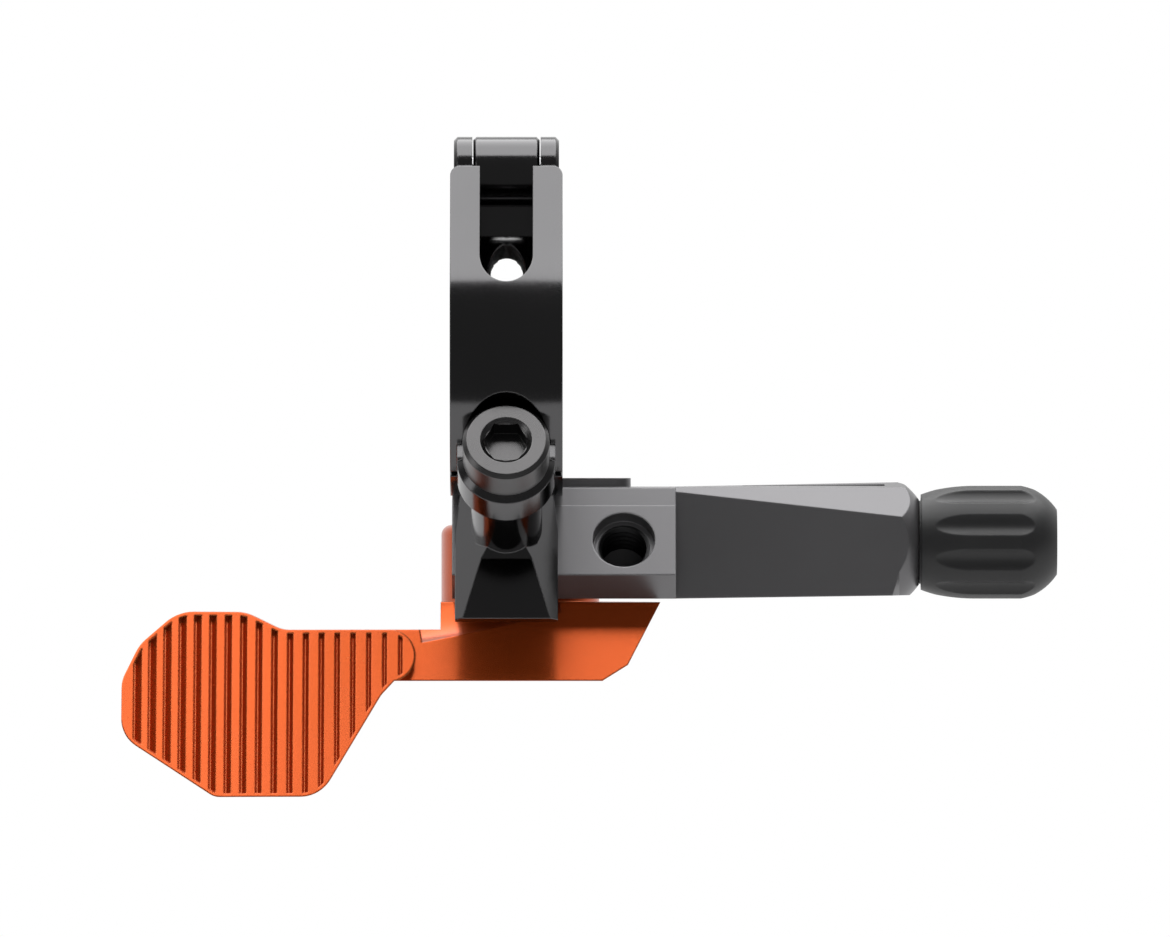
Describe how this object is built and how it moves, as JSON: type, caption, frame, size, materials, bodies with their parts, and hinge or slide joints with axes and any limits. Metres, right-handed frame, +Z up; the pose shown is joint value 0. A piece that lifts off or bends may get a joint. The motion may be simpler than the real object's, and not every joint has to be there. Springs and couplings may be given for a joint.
{
  "type": "dropper post remote lever",
  "caption": "Thumb lever with ribbed paddle under a hinged handlebar clamp, turning on sealed bearings, with a fluted barrel adjuster for the cable.",
  "frame": {"origin": "centre of the handlebar bore, at the middle of the clamp's width", "axes": "+X along the handlebar towards the cable adjuster, +Y forwards away from the rider, +Z up"},
  "size_m": [0.0918, 0.0459, 0.0646],
  "materials": {
    "clamp_black": "gloss black anodised",
    "body_black": "satin black anodised",
    "bolt_black": "black oxide",
    "pin_steel": "ground",
    "blade_orange": "satin orange anodised",
    "race_steel": "ground",
    "ball_steel": "polished",
    "seal_rubber": "matt",
    "knob_black": "matt black",
    "barrel_black": "black anodised",
    "washer_steel": "plain"
  },
  "bodies": {
    "body": {"lever_body": "body_black", "clamp_base": "clamp_black", "hinge_pin": "pin_steel", "pivot_bolt": "bolt_black", "pivot_washer": "washer_steel", "bearing_spacer": "washer_steel", "upper_bearing_inner": "race_steel", "lower_bearing_inner": "race_steel"},
    "strap": {"clamp_strap": "clamp_black"},
    "bolt": {"clamp_bolt": "bolt_black"},
    "lever": {"lever_blade": "blade_orange", "upper_bearing_outer": "race_steel", "lower_bearing_outer": "race_steel", "upper_bearing_balls": "ball_steel", "lower_bearing_balls": "ball_steel", "upper_bearing_seals": "seal_rubber", "lower_bearing_seals": "seal_rubber"},
    "adjuster_slider": {"adjuster_o_ring": "seal_rubber"},
    "adjuster": {"adjuster_knob": "knob_black", "adjuster_barrel": "barrel_black"}
  },
  "joints": [
    {"name": "lever_pivot", "type": "hinge", "parent": "body", "child": "lever", "pos_m": [0.0013, 0.021, -0.0247], "axis": [0, 0, -1], "range_deg": [0, 25]},
    {"name": "bolt_loosen", "type": "slide", "parent": "body", "child": "bolt", "axis": [0, -0.866, 0.5], "range_m": [0, 0.0024]},
    {"name": "strap_hinge", "type": "hinge", "parent": "body", "child": "strap", "pos_m": [0, 0, 0.0175], "axis": [-1, 0, 0], "range_deg": [0, 3.7]},
    {"name": "adjuster_travel", "type": "slide", "parent": "body", "child": "adjuster_slider", "axis": [1, 0, 0], "range_m": [0, 0.005]},
    {"name": "adjuster_turn", "type": "hinge", "parent": "adjuster_slider", "child": "adjuster", "pos_m": [0.047, 0.0107, -0.01887], "axis": [1, 0, 0], "range_deg": [0, 1800]}
  ],
  "couplings": [
    {"joint": "strap_hinge", "follows": "bolt_loosen", "rad_per_m": 26.667},
    {"joint": "adjuster_turn", "follows": "adjuster_travel", "rad_per_m": 6283.2}
  ]
}
